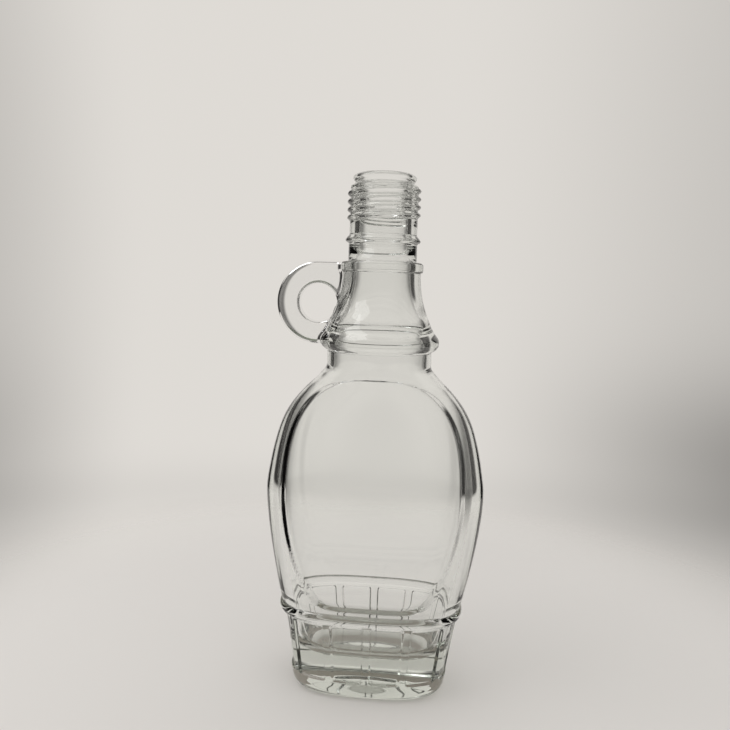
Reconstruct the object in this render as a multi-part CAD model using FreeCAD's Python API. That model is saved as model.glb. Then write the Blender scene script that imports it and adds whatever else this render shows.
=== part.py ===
"""Clear glass flask bottle with a loop handle, a ribbed skirt and a screw neck.

One solid, in millimetres. The origin is the middle of the foot plane, +Z runs
up the neck's axis, the handle is on -X and the front label panel faces -Y.
"""
import FreeCAD, Part
import bisect
import math
import os

from FreeCAD import Vector

# ---- driving sizes: body ---------------------------------------------------
FOOT_HALF_WIDTH = 29.8
FOOT_HALF_DEPTH = 20.3
FOOT_SQUARENESS = 3.0
HEEL_RADIUS = 4.5

WAIST_HEIGHT = 31.8
WAIST_HALF_WIDTH = 34.9
WAIST_HALF_DEPTH = 20.7

WIDEST_HEIGHT = 77.5
BODY_HALF_WIDTH = 42.9
BODY_HALF_DEPTH = 22.4
BODY_SQUARENESS = 2.3

NECK_ROOT_HEIGHT = 127.5
NECK_ROOT_RADIUS = 20.2

# the flank's swell above the waist: 1 is a straight line, more is rounder
FLANK_ROUNDNESS = 1.5
# the shoulder: share of the way up to the neck root, share of the width left
SHOULDER_CURVE = ((0.20, 0.945), (0.40, 0.850), (0.56, 0.735), (0.68, 0.590),
                  (0.80, 0.375), (0.90, 0.150))

# ---- driving sizes: ridge, skirt windows, label panels ----------------------
RIDGE_HALF_HEIGHT = 2.0
RIDGE_PROUD = 1.1

WINDOW_COUNT = 12
WINDOW_DEPTH = 0.9
WINDOW_BOTTOM = 7.0
WINDOW_TOP_GAP = 0.1
WINDOW_CORNER_RADIUS = 1.4
WINDOW_SLOPE_WIDTH = 0.9
RIB_WIDTH = 2.4

PANEL_DEPTH = 0.8
PANEL_SLOPE_WIDTH = 3.0
PANEL_HALF_WIDTH = 33.0
PANEL_FOOT_HALF_WIDTH = 22.0
PANEL_FOOT_GAP = 1.7
PANEL_TOP_BELOW_ROOT = 3.5
PANEL_ARCH_POWER = 2.0
PANEL_FOOT_POWER = 8.0
PANEL_FLANK_ROUNDNESS = 1.8

# ---- driving sizes: neck ----------------------------------------------------
ROOT_LENGTH = 5.4
BEAD_RADIUS = 22.9
BEAD_CREST_RISE = 4.4
BEAD_HEIGHT = 9.4
FLARE_FOOT_RADIUS = 19.8
FLARE_TOP_RADIUS = 14.9
FLARE_LENGTH = 20.4
COLLAR_RADIUS = 15.8
COLLAR_THICKNESS = 4.1
COLLAR_EDGE_RADIUS = 1.2
FINISH_FOOT_RADIUS = 13.1
FINISH_FOOT_LENGTH = 7.0
TRANSFER_RADIUS = 14.35
TRANSFER_FLANK_LENGTH = 3.0
THREAD_CORE_RADIUS = 12.9
THREAD_CORE_LENGTH = 19.0
LIP_GROOVE_RADIUS = 11.2
LIP_RADIUS = 12.1
LIP_HEIGHT = 3.9

THREAD_CREST_RADIUS = 14.0
THREAD_PITCH = 3.0
THREAD_TURNS = 4.2
THREAD_HALF_WIDTH = 1.25
THREAD_START_RISE = 4.9
THREAD_FADE_TURNS = 0.25

# ---- driving sizes: handle --------------------------------------------------
HANDLE_RADIUS = 16.0
HANDLE_HOLE_RADIUS = 7.3
HANDLE_REACH = 24.2
HANDLE_THICKNESS = 7.0
HANDLE_OUTER_ROUND = 2.8
HANDLE_HOLE_ROUND = 2.2

# ---- driving sizes: hollow --------------------------------------------------
SIDE_WALL = 3.0
FRONT_WALL = 2.8
FLOOR_THICKNESS = 14.5
FLOOR_CORNER_RADIUS = 8.5
ROOT_BORE_RADIUS = 16.5
BEAD_BORE_RADIUS = 17.4
FLARE_BORE_RADIUS = 11.4
BORE_RADIUS = 9.3
BORE_WIDENING_LENGTH = 5.0
MOUTH_ROUND = 1.1
PUSH_UP_HEIGHT = 1.8
BEARING_RING_WIDTH = 4.5

# ---- levels that follow from the sizes --------------------------------------
BEAD_LOW = NECK_ROOT_HEIGHT + ROOT_LENGTH
BEAD_CREST = BEAD_LOW + BEAD_CREST_RISE
BEAD_TOP = BEAD_LOW + BEAD_HEIGHT
COLLAR_LOW = BEAD_TOP + FLARE_LENGTH
COLLAR_TOP = COLLAR_LOW + COLLAR_THICKNESS
TRANSFER_LOW = COLLAR_TOP + FINISH_FOOT_LENGTH
TRANSFER_TOP = TRANSFER_LOW + TRANSFER_FLANK_LENGTH
GROOVE_LOW = TRANSFER_TOP + THREAD_CORE_LENGTH
MOUTH = GROOVE_LOW + LIP_HEIGHT
SKIRT_TOP = WAIST_HEIGHT - RIDGE_HALF_HEIGHT
WINDOW_TOP = SKIRT_TOP - WINDOW_TOP_GAP
PANEL_FOOT = WAIST_HEIGHT + RIDGE_HALF_HEIGHT + PANEL_FOOT_GAP
PANEL_TOP = NECK_ROOT_HEIGHT - PANEL_TOP_BELOW_ROOT
# the body's skin ends inside the bead, where the bead hides its last edge
BODY_TOP = BEAD_CREST
HANDLE_HEIGHT = COLLAR_TOP - HANDLE_RADIUS

OVAL_POINTS = 40
ROUND = 2.0


def mix(low, high, share):
    return low + (high - low) * share


def ease(share):
    """Smooth step from 0 to 1."""
    share = min(1.0, max(0.0, share))
    return share * share * (3.0 - 2.0 * share)


# ---- ovals ------------------------------------------------------------------
def oval_point(half_width, half_depth, squareness, angle):
    """Point of an oval at a parameter angle; squareness 2 is an ellipse."""
    c = math.cos(angle)
    s = math.sin(angle)
    scale = (abs(c) ** squareness + abs(s) ** squareness) ** (-1.0 / squareness)
    return half_width * c * scale, half_depth * s * scale


def steps_along(points, closed):
    """Distances along a row of points, for even spline parameters."""
    ends = points[1:] + points[:1] if closed else points[1:]
    total = [0.0]
    for here, there in zip(points, ends):
        total.append(total[-1] + (there - here).Length)
    return total


def skin_surface(rows):
    """Spline surface exactly through closed rows of points, smooth all round."""
    around = steps_along(rows[len(rows) // 2], True)
    up = steps_along([row[len(row) // 4] for row in rows], False)
    row_poles = []
    for row in rows:
        curve = Part.BSplineCurve()
        curve.interpolate(Points=row, PeriodicFlag=True, Parameters=around)
        row_poles.append(curve.getPoles())
    columns = []
    for j in range(len(row_poles[0])):
        rise = Part.BSplineCurve()
        rise.interpolate(Points=[poles[j] for poles in row_poles], Parameters=up)
        columns.append(rise.getPoles())
    grid = [[column[i] for column in columns] for i in range(len(columns[0]))]
    surface = Part.BSplineSurface()
    surface.buildFromPolesMultsKnots(grid, rise.getMultiplicities(), curve.getMultiplicities(),
                                     rise.getKnots(), curve.getKnots(), False, True, 3, 3)
    return surface, up, around


def skin_solid(rows):
    """Solid between flat ends whose side runs smoothly through closed rows of points."""
    surface, up, around = skin_surface(rows)
    middle = around[len(rows[0]) // 2]
    halves = []
    for start, end in ((0.0, middle), (middle, around[-1])):
        half = surface.copy()
        half.segment(up[0], up[-1], start, end)
        halves.append(half)
    sides = [half.toShape() for half in halves]
    ends = []
    for u, height in ((up[0], rows[0][0].z), (up[-1], rows[-1][0].z)):
        rim = Part.Wire([half.uIso(u).toShape() for half in halves])
        ends.append(Part.Face(Part.Plane(Vector(0, 0, height), Vector(0, 0, 1)), rim))
    shell = Part.makeShell(sides + ends)
    shell.sewShape()
    solid = Part.Solid(Part.Shell(shell.Faces))
    if solid.Volume < 0.0:
        solid.reverse()
    return solid


def oval_row(half_width, half_depth, squareness, height):
    """Points of a plain oval at a height."""
    row = []
    for i in range(OVAL_POINTS):
        x, y = oval_point(half_width, half_depth, squareness, 2.0 * math.pi * i / OVAL_POINTS)
        row.append(Vector(x, y, height))
    return row


# ---- the body's plain outside -----------------------------------------------
def shoulder_left(share):
    """Share of the body's width left at a share of the way up the shoulder."""
    knots = ((0.0, 1.0),) + SHOULDER_CURVE + ((1.0, 0.0),)
    k = next(i for i in range(len(knots) - 1) if share <= knots[i + 1][0] + 1e-9)
    slopes = [0.0]
    for i in range(1, len(knots) - 1):
        slopes.append((knots[i + 1][1] - knots[i - 1][1]) / (knots[i + 1][0] - knots[i - 1][0]))
    slopes.append(0.0)
    length = knots[k + 1][0] - knots[k][0]
    t = (share - knots[k][0]) / length
    rise = knots[k + 1][1] - knots[k][1]
    start = slopes[k] * length
    end = slopes[k + 1] * length
    return knots[k][1] + start * t + (3 * rise - 2 * start - end) * t * t + (start + end - 2 * rise) * t ** 3


def oval_size(height):
    """Half width, half depth and squareness of the plain body at a height."""
    if height <= WAIST_HEIGHT:
        share = height / WAIST_HEIGHT
        return (mix(FOOT_HALF_WIDTH, WAIST_HALF_WIDTH, share),
                mix(FOOT_HALF_DEPTH, WAIST_HALF_DEPTH, share), FOOT_SQUARENESS)
    if height <= WIDEST_HEIGHT:
        share = (height - WAIST_HEIGHT) / (WIDEST_HEIGHT - WAIST_HEIGHT)
        left = 1.0 - (1.0 - share) ** FLANK_ROUNDNESS
        return (mix(WAIST_HALF_WIDTH, BODY_HALF_WIDTH, left),
                mix(WAIST_HALF_DEPTH, BODY_HALF_DEPTH, left),
                mix(FOOT_SQUARENESS, BODY_SQUARENESS, left))
    if height < NECK_ROOT_HEIGHT:
        left = shoulder_left((height - WIDEST_HEIGHT) / (NECK_ROOT_HEIGHT - WIDEST_HEIGHT))
        return (mix(NECK_ROOT_RADIUS, BODY_HALF_WIDTH, left),
                mix(NECK_ROOT_RADIUS, BODY_HALF_DEPTH, left), mix(ROUND, BODY_SQUARENESS, left))
    return NECK_ROOT_RADIUS, NECK_ROOT_RADIUS, ROUND


# ---- relief on the outside --------------------------------------------------
def window_relief(along, height):
    """Depth of a skirt window at a distance along the waist from a rib's middle."""
    half_width = 0.5 * (WINDOW_PITCH - RIB_WIDTH)
    half_height = 0.5 * (WINDOW_TOP - WINDOW_BOTTOM)
    across = abs(along - 0.5 * WINDOW_PITCH) - (half_width - WINDOW_CORNER_RADIUS)
    up = abs(height - 0.5 * (WINDOW_TOP + WINDOW_BOTTOM)) - (half_height - WINDOW_CORNER_RADIUS)
    outside = math.hypot(max(across, 0.0), max(up, 0.0)) + min(max(across, up), 0.0) - WINDOW_CORNER_RADIUS
    return WINDOW_DEPTH * ease(-outside / WINDOW_SLOPE_WIDTH)


def panel_relief(x, height):
    """Depth of a label panel: an arch above the widest level, squarer below it."""
    rise = height - WIDEST_HEIGHT
    if rise > 0.0:
        half_width = PANEL_HALF_WIDTH
        half_height = PANEL_TOP - WIDEST_HEIGHT
        power = PANEL_ARCH_POWER
    else:
        share = min(1.0, -rise / (WIDEST_HEIGHT - PANEL_FOOT))
        half_width = mix(PANEL_HALF_WIDTH, PANEL_FOOT_HALF_WIDTH, share ** PANEL_FLANK_ROUNDNESS)
        half_height = WIDEST_HEIGHT - PANEL_FOOT
        power = PANEL_FOOT_POWER
    reach = ((abs(x) / half_width) ** power + (abs(rise) / half_height) ** power) ** (1.0 / power)
    inside = math.hypot(x, rise) * (1.0 / max(reach, 1e-6) - 1.0) if reach > 0.2 else PANEL_SLOPE_WIDTH
    return PANEL_DEPTH * ease(inside / PANEL_SLOPE_WIDTH)


def ridge_relief(height):
    """How far the half-round ridge stands out at a height."""
    across = abs(height - WAIST_HEIGHT) / RIDGE_HALF_HEIGHT
    return RIDGE_PROUD * max(0.0, 1.0 - across * across) ** 0.75


def heel_inset(height):
    """How far the rounded heel draws in at a height."""
    drop = max(0.0, 1.0 - height / HEEL_RADIUS)
    return HEEL_RADIUS * (1.0 - math.sqrt(max(0.0, 1.0 - drop * drop)))


# ---- the outer skin ---------------------------------------------------------
def waist_table():
    """Distance along the waist, from the front's middle, against oval angle."""
    steps = 2880
    start = -0.5 * math.pi
    angles = [start + 2.0 * math.pi * i / steps for i in range(steps + 1)]
    points = [oval_point(WAIST_HALF_WIDTH, WAIST_HALF_DEPTH, FOOT_SQUARENESS, angle) for angle in angles]
    lengths = [0.0]
    for i in range(steps):
        lengths.append(lengths[-1] + math.dist(points[i], points[i + 1]))
    return angles, lengths


def angle_at(length):
    """Oval angle at a distance along the waist."""
    i = min(len(WAIST_LENGTHS) - 2, bisect.bisect_right(WAIST_LENGTHS, length) - 1)
    share = (length - WAIST_LENGTHS[i]) / (WAIST_LENGTHS[i + 1] - WAIST_LENGTHS[i])
    return mix(WAIST_ANGLES[i], WAIST_ANGLES[i + 1], share)


def column_lengths():
    """Distances along the waist where the skin is drawn, closest at the ribs."""
    edge = 0.5 * RIB_WIDTH
    half = [0.0, 0.5 * edge, edge, edge + 0.5 * WINDOW_SLOPE_WIDTH, edge + WINDOW_SLOPE_WIDTH]
    floor = 0.5 * WINDOW_PITCH - half[-1]
    half += [half[-1] + floor * share for share in (0.2, 0.55)]
    one = half + [0.5 * WINDOW_PITCH] + [WINDOW_PITCH - d for d in reversed(half[1:])]
    return [k * WINDOW_PITCH + d for k in range(WINDOW_COUNT) for d in one]


def skin_heights():
    """Heights where the skin is drawn, closest at the edges of its relief."""
    heights = [HEEL_RADIUS * (1.0 - math.cos(0.5 * math.pi * i / 5)) for i in range(6)]
    slope = WINDOW_SLOPE_WIDTH
    heights += [WINDOW_BOTTOM + slope * t for t in (0.0, 0.5, 1.0, 2.0)]
    heights += [mix(WINDOW_BOTTOM, WINDOW_TOP, t) for t in (0.3, 0.5, 0.7)]
    heights += [WINDOW_TOP - slope * t for t in (2.0, 1.0, 0.5, 0.0)]
    heights += [WAIST_HEIGHT + RIDGE_HALF_HEIGHT * t for t in (-0.96, -0.75, -0.4, 0.0, 0.4, 0.75, 0.96, 1.15)]
    heights += [PANEL_FOOT + PANEL_SLOPE_WIDTH * t for t in (0.0, 0.35, 0.7, 1.0)]
    heights += [mix(PANEL_FOOT + PANEL_SLOPE_WIDTH, WIDEST_HEIGHT, t) for t in (0.2, 0.4, 0.6, 0.8, 1.0)]
    heights += [mix(WIDEST_HEIGHT, PANEL_TOP, t)
                for t in (0.12, 0.25, 0.37, 0.48, 0.58, 0.67, 0.75, 0.81, 0.86, 0.9, 0.94, 0.97, 1.0)]
    heights += [NECK_ROOT_HEIGHT - 1.2, NECK_ROOT_HEIGHT, 0.5 * (NECK_ROOT_HEIGHT + BEAD_LOW), BODY_TOP]
    return heights


def skin_row(height):
    """Points of the outside at a height, with all its relief."""
    half_width, half_depth, squareness = oval_size(height)
    inset = heel_inset(height) - ridge_relief(height)
    points = []
    for length in COLUMN_LENGTHS:
        angle = angle_at(length)
        relief = inset
        if height < WAIST_HEIGHT:
            relief += window_relief(length % WINDOW_PITCH, height)
        else:
            x = oval_point(half_width, half_depth, squareness, angle)[0]
            relief += panel_relief(x, height)
        x, y = oval_point(half_width - relief, half_depth - relief, squareness, angle)
        points.append(Vector(x, y, height))
    return points


WAIST_ANGLES, WAIST_LENGTHS = waist_table()
WINDOW_PITCH = WAIST_LENGTHS[-1] / WINDOW_COUNT
COLUMN_LENGTHS = column_lengths()


def make_outside():
    """The whole outside below the neck bead, in one smooth skin."""
    return skin_solid([skin_row(height) for height in skin_heights()])


# ---- neck -------------------------------------------------------------------
def revolve(edges):
    """Full turn about Z of a closed outline in the XZ plane."""
    return Part.Face(Part.Wire(edges)).revolve(Vector(0, 0, 0), Vector(0, 0, 1), 360.0)


def line(a, b):
    return Part.LineSegment(Vector(a[0], 0, a[1]), Vector(b[0], 0, b[1])).toShape()


def arc(a, middle, b):
    return Part.Arc(Vector(a[0], 0, a[1]), Vector(middle[0], 0, middle[1]), Vector(b[0], 0, b[1])).toShape()


def spline(points):
    curve = Part.BSplineCurve()
    curve.interpolate([Vector(r, 0, z) for r, z in points])
    return curve.toShape()


def make_neck():
    """Everything round above the neck root: bead, flare, collar, finish and lip."""
    inside = NECK_ROOT_RADIUS - 1.2
    bead = [(inside, BEAD_LOW),
            (mix(NECK_ROOT_RADIUS, BEAD_RADIUS, 0.55), BEAD_LOW + 0.8),
            (BEAD_RADIUS, BEAD_CREST),
            (mix(FLARE_FOOT_RADIUS, BEAD_RADIUS, 0.42), mix(BEAD_CREST, BEAD_TOP, 0.55)),
            (FLARE_FOOT_RADIUS, BEAD_TOP)]
    slope = FLARE_TOP_RADIUS - FLARE_FOOT_RADIUS
    flare = [(FLARE_FOOT_RADIUS, BEAD_TOP),
             (FLARE_FOOT_RADIUS + 0.56 * slope, BEAD_TOP + 0.33 * FLARE_LENGTH),
             (FLARE_FOOT_RADIUS + 0.90 * slope, BEAD_TOP + 0.68 * FLARE_LENGTH),
             (FLARE_TOP_RADIUS, COLLAR_LOW)]
    edge = COLLAR_EDGE_RADIUS
    bend = edge * (1.0 - math.sqrt(0.5))
    collar_in = COLLAR_RADIUS - edge
    lip_middle = GROOVE_LOW + 0.62 * LIP_HEIGHT
    lip_inside = BORE_RADIUS + MOUTH_ROUND
    edges = [
        line((0, NECK_ROOT_HEIGHT), (inside, NECK_ROOT_HEIGHT)),
        line((inside, NECK_ROOT_HEIGHT), bead[0]),
        spline(bead),
        spline(flare),
        arc(flare[-1], (COLLAR_RADIUS - bend, COLLAR_LOW + bend), (COLLAR_RADIUS, COLLAR_LOW + edge)),
        line((COLLAR_RADIUS, COLLAR_LOW + edge), (COLLAR_RADIUS, COLLAR_TOP - edge)),
        arc((COLLAR_RADIUS, COLLAR_TOP - edge), (COLLAR_RADIUS - bend, COLLAR_TOP - bend),
            (collar_in, COLLAR_TOP)),
        line((collar_in, COLLAR_TOP), (FINISH_FOOT_RADIUS, COLLAR_TOP)),
        line((FINISH_FOOT_RADIUS, COLLAR_TOP), (FINISH_FOOT_RADIUS, TRANSFER_LOW)),
        spline([(FINISH_FOOT_RADIUS, TRANSFER_LOW), (TRANSFER_RADIUS, TRANSFER_LOW + 0.8),
                (THREAD_CORE_RADIUS, TRANSFER_TOP)]),
        line((THREAD_CORE_RADIUS, TRANSFER_TOP), (THREAD_CORE_RADIUS, GROOVE_LOW - 0.6)),
        spline([(THREAD_CORE_RADIUS, GROOVE_LOW - 0.6), (LIP_GROOVE_RADIUS, GROOVE_LOW + 0.6),
                (LIP_RADIUS, lip_middle), (lip_inside, MOUTH)]),
        line((lip_inside, MOUTH), (0, MOUTH)),
        line((0, MOUTH), (0, NECK_ROOT_HEIGHT)),
    ]
    return revolve(edges)


def make_thread():
    """Right-hand screw ridge that fades into the core at both ends."""
    steps_per_turn = 16
    steps = int(round(THREAD_TURNS * steps_per_turn))
    start = TRANSFER_TOP + THREAD_START_RISE
    rise = THREAD_CREST_RADIUS - THREAD_CORE_RADIUS
    buried = 0.8
    sections = []
    for i in range(steps + 1):
        turn = i / steps_per_turn
        fade = min(1.0, turn / THREAD_FADE_TURNS, (THREAD_TURNS - turn) / THREAD_FADE_TURNS)
        height = rise * math.sin(0.5 * math.pi * max(0.0, fade)) + 0.02
        angle = 2.0 * math.pi * turn
        middle = start + THREAD_PITCH * turn
        outward = Vector(math.cos(angle), math.sin(angle), 0.0)
        root = THREAD_CORE_RADIUS - buried
        crest = THREAD_CORE_RADIUS + height
        foot_half = THREAD_HALF_WIDTH
        crest_half = 0.35 * THREAD_HALF_WIDTH
        corners = [outward * root + Vector(0, 0, middle - foot_half),
                   outward * crest + Vector(0, 0, middle - crest_half),
                   outward * crest + Vector(0, 0, middle + crest_half),
                   outward * root + Vector(0, 0, middle + foot_half)]
        sections.append(Part.makePolygon(corners + [corners[0]]))
    return Part.makeLoft(sections, True, False)


# ---- handle -----------------------------------------------------------------
def make_handle():
    """Flat ring with a round hole, its top edge level with the collar's top."""
    low = Vector(-HANDLE_REACH, -0.5 * HANDLE_THICKNESS, HANDLE_HEIGHT)
    across = Vector(0, 1, 0)
    disc = Part.makeCylinder(HANDLE_RADIUS, HANDLE_THICKNESS, low, across)
    arm_length = HANDLE_REACH - 0.5 * (FLARE_TOP_RADIUS + FLARE_BORE_RADIUS)
    arm = Part.makeBox(arm_length, HANDLE_THICKNESS, 2.0 * HANDLE_RADIUS,
                       low - Vector(0, 0, HANDLE_RADIUS))
    plate = disc.fuse(arm).removeSplitter()
    rims = []
    for edge in plate.Edges:
        middle = edge.valueAt(0.5 * (edge.FirstParameter + edge.LastParameter))
        on_face = abs(abs(middle.y) - 0.5 * HANDLE_THICKNESS) < 1e-6
        if on_face and middle.x < low.x + arm_length - 1e-3:
            rims.append(edge)
    plate = plate.makeFillet(HANDLE_OUTER_ROUND, rims)
    hole = Part.makeCylinder(HANDLE_HOLE_RADIUS, HANDLE_THICKNESS, low, across)
    plate = plate.cut(hole)
    rims = []
    for edge in plate.Edges:
        if isinstance(edge.Curve, Part.Circle) and abs(edge.Curve.Radius - HANDLE_HOLE_RADIUS) < 1e-6:
            rims.append(edge)
    return plate.makeFillet(HANDLE_HOLE_ROUND, rims)


# ---- hollow -----------------------------------------------------------------
def make_hollow():
    """Inside of the bottle, from the thick floor to the mouth."""
    rows = []
    steps = 5
    floor_top = FLOOR_THICKNESS + FLOOR_CORNER_RADIUS
    heights = [floor_top - FLOOR_CORNER_RADIUS * math.cos(0.5 * math.pi * i / steps) for i in range(steps + 1)]
    heights += [mix(floor_top, WIDEST_HEIGHT, t) for t in (0.15, 0.3, 0.5, 0.75, 1.0)]
    heights += [mix(WIDEST_HEIGHT, NECK_ROOT_HEIGHT, t) for t in (0.2, 0.4, 0.55, 0.68, 0.8, 0.9, 0.96)]
    for height in heights:
        half_width, half_depth, squareness = oval_size(height)
        drop = max(0.0, (floor_top - height) / FLOOR_CORNER_RADIUS)
        pull = FLOOR_CORNER_RADIUS * (1.0 - math.sqrt(max(0.0, 1.0 - drop * drop)))
        up = max(0.0, (height - WIDEST_HEIGHT) / (NECK_ROOT_HEIGHT - WIDEST_HEIGHT))
        root_wall = NECK_ROOT_RADIUS - ROOT_BORE_RADIUS
        rows.append(oval_row(half_width - mix(SIDE_WALL, root_wall, up) - pull,
                             half_depth - mix(FRONT_WALL, root_wall, up) - pull, squareness, height))
    for height in (NECK_ROOT_HEIGHT, BEAD_LOW, BEAD_CREST):
        rows.append(oval_row(ROOT_BORE_RADIUS, ROOT_BORE_RADIUS, ROUND, height))
    lower = skin_solid(rows)
    slope = FLARE_BORE_RADIUS - BEAD_BORE_RADIUS
    bore_low = COLLAR_TOP + 0.5
    bore_full = bore_low + BORE_WIDENING_LENGTH
    start = ROOT_BORE_RADIUS - 0.5
    wall = [(start, BEAD_LOW - 0.5), (BEAD_BORE_RADIUS, BEAD_CREST),
            (BEAD_BORE_RADIUS + 0.10 * slope, BEAD_TOP),
            (BEAD_BORE_RADIUS + 0.60 * slope, BEAD_TOP + 0.36 * FLARE_LENGTH),
            (BEAD_BORE_RADIUS + 0.90 * slope, BEAD_TOP + 0.68 * FLARE_LENGTH),
            (FLARE_BORE_RADIUS, COLLAR_LOW), (FLARE_BORE_RADIUS, bore_low),
            (mix(FLARE_BORE_RADIUS, BORE_RADIUS, 0.6), mix(bore_low, bore_full, 0.5)),
            (BORE_RADIUS, bore_full)]
    mouth_low = MOUTH - MOUTH_ROUND
    bend = MOUTH_ROUND * (1.0 - math.sqrt(0.5))
    past = MOUTH + 1.0
    upper = revolve([
        line((0, wall[0][1]), wall[0]),
        spline(wall),
        line(wall[-1], (BORE_RADIUS, mouth_low)),
        arc((BORE_RADIUS, mouth_low), (BORE_RADIUS + bend, MOUTH - bend), (BORE_RADIUS + MOUTH_ROUND, MOUTH)),
        line((BORE_RADIUS + MOUTH_ROUND, MOUTH), (BORE_RADIUS + MOUTH_ROUND, past)),
        line((BORE_RADIUS + MOUTH_ROUND, past), (0, past)),
        line((0, past), (0, wall[0][1])),
    ])
    return lower.fuse(upper)


def make_push_up():
    """Shallow hollow under the base, inside a flat ring that it stands on."""
    ball = Part.makeSphere(1.0)
    squash = FreeCAD.Matrix()
    squash.A11 = FOOT_HALF_WIDTH - HEEL_RADIUS - BEARING_RING_WIDTH
    squash.A22 = FOOT_HALF_DEPTH - HEEL_RADIUS - BEARING_RING_WIDTH
    squash.A33 = PUSH_UP_HEIGHT
    return ball.transformGeometry(squash)


def make_bottle():
    """Join the solid outer shapes, then take out the hollow and the push-up."""
    neck = make_neck().fuse(make_thread())
    bottle = make_outside().fuse([neck, make_handle()])
    return bottle.cut(make_hollow()).cut(make_push_up())


def main():
    os.makedirs("parts", exist_ok=True)
    bottle = make_bottle()
    print("valid", bottle.isValid(), "solids", len(bottle.Solids), "faces", len(bottle.Faces))
    print("volume cm3", round(bottle.Volume / 1000.0, 2))
    box = bottle.BoundBox
    print("box", [round(v, 2) for v in (box.XMin, box.YMin, box.ZMin, box.XMax, box.YMax, box.ZMax)])
    bottle.Solids[0].exportStep("parts/bottle.step")


main()
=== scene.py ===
"""Looks of a clear glass flask bottle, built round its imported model.

The glass is one closed skin: the underside, the ribbed skirt, the body with
its label panels, the screw neck, the lip and the whole inside, joined to the
loop handle. Sizes are millimetres until a mesh is made, then metres.
"""
import logging
import math
from collections.abc import Callable
from dataclasses import dataclass, field
from enum import Enum

import bmesh
import bpy
import numpy as np
from mathutils import Matrix, Vector


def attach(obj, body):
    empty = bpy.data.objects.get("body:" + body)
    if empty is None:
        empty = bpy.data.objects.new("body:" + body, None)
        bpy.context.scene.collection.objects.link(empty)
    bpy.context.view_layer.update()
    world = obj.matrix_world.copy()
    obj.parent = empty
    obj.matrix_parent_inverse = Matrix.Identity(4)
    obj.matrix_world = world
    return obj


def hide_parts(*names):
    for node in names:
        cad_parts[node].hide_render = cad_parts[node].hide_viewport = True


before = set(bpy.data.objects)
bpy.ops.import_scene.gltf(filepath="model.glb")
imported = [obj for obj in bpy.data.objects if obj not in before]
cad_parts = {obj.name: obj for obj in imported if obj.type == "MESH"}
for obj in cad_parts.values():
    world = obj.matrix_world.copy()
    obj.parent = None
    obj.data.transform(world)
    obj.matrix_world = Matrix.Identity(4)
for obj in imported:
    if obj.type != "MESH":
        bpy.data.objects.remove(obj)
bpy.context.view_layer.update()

logging.basicConfig(level=logging.INFO, format="%(message)s")
log = logging.getLogger("bottle")

MM = 0.001
ROUND = 2.0

Value = float | np.ndarray


class Slot(Enum):
    """Material slot names of the record; no piece here takes its finish from them."""

    GLASS = "clear_glass"


# ---- small helpers ----------------------------------------------------------
def mix(low: Value, high: Value, share: Value) -> Value:
    """Blends two values.

    Args:
        low: Value at share 0.
        high: Value at share 1.
        share: How far to go from low to high.

    Returns:
        The value at that share of the way.
    """
    return low + (high - low) * share


def ease(share: np.ndarray) -> np.ndarray:
    """Turns an even run into a smooth step.

    Args:
        share: Places along the run; 0 is its start and 1 is its end.

    Returns:
        Values that rise softly from 0 to 1.
    """
    share = np.clip(share, 0.0, 1.0)
    return share * share * (3.0 - 2.0 * share)


def spaced(low: float, high: float, step: float) -> np.ndarray:
    """Spaces values evenly, upwards or downwards.

    Args:
        low: First value.
        high: Value that the run stops short of; it may be below the first.
        step: About how far apart the values are.

    Returns:
        The values, without the last one.
    """
    count = max(1, int(round(abs(high - low) / step)))
    return low + (high - low) * np.arange(count) / count


def smooth_curve(points: list[tuple[float, float]], step: float) -> np.ndarray:
    """Runs a natural cubic spline through points.

    Args:
        points: Corners that the curve passes through.
        step: Distance between the points returned.

    Returns:
        Points along the curve, both ends included.
    """
    knots = np.array(points, dtype=float)
    along = np.concatenate([[0.0], np.cumsum(np.linalg.norm(np.diff(knots, axis=0), axis=1))])
    gaps = np.diff(along)
    size = len(knots)
    matrix = np.eye(size)
    right = np.zeros((size, 2))
    for i in range(1, size - 1):
        slope_in = (knots[i] - knots[i - 1]) / gaps[i - 1]
        slope_out = (knots[i + 1] - knots[i]) / gaps[i]
        matrix[i, i - 1:i + 2] = gaps[i - 1], 2.0 * (gaps[i - 1] + gaps[i]), gaps[i]
        right[i] = 6.0 * (slope_out - slope_in)
    bends = np.linalg.solve(matrix, right)
    where = np.linspace(0.0, along[-1], max(2, int(round(along[-1] / step)) + 1))
    i = np.clip(np.searchsorted(along, where, side="right") - 1, 0, size - 2)
    gap = gaps[i][:, None]
    a = (along[i + 1] - where)[:, None] / gap
    b = 1.0 - a
    bow = (a ** 3 - a) * bends[i] + (b ** 3 - b) * bends[i + 1]
    return a * knots[i] + b * knots[i + 1] + bow * gap ** 2 / 6.0


def softened(path: np.ndarray, step: float, radius: float) -> np.ndarray:
    """Draws a path again at even steps with its corners rounded off.

    Args:
        path: Points of the path.
        step: Distance between the points returned.
        radius: About how far from a corner the path bends.

    Returns:
        The rounded path; its ends stay put.
    """
    along = np.concatenate([[0.0], np.cumsum(np.linalg.norm(np.diff(path, axis=0), axis=1))])
    count = int(round(along[-1] / step)) + 1
    where = np.linspace(0.0, along[-1], count)
    drawn = np.stack([np.interp(where, along, path[:, k]) for k in range(2)], axis=1)
    reach = max(1, int(round(radius / step)))
    weights = np.hanning(2 * reach + 3)[1:-1]
    weights /= weights.sum()
    before = 2.0 * drawn[:1] - drawn[reach:0:-1]
    after = 2.0 * drawn[-1:] - drawn[-2:-reach - 2:-1]
    padded = np.concatenate([before, drawn, after])
    return np.stack([np.convolve(padded[:, k], weights, mode="valid") for k in range(2)], axis=1)


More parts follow.
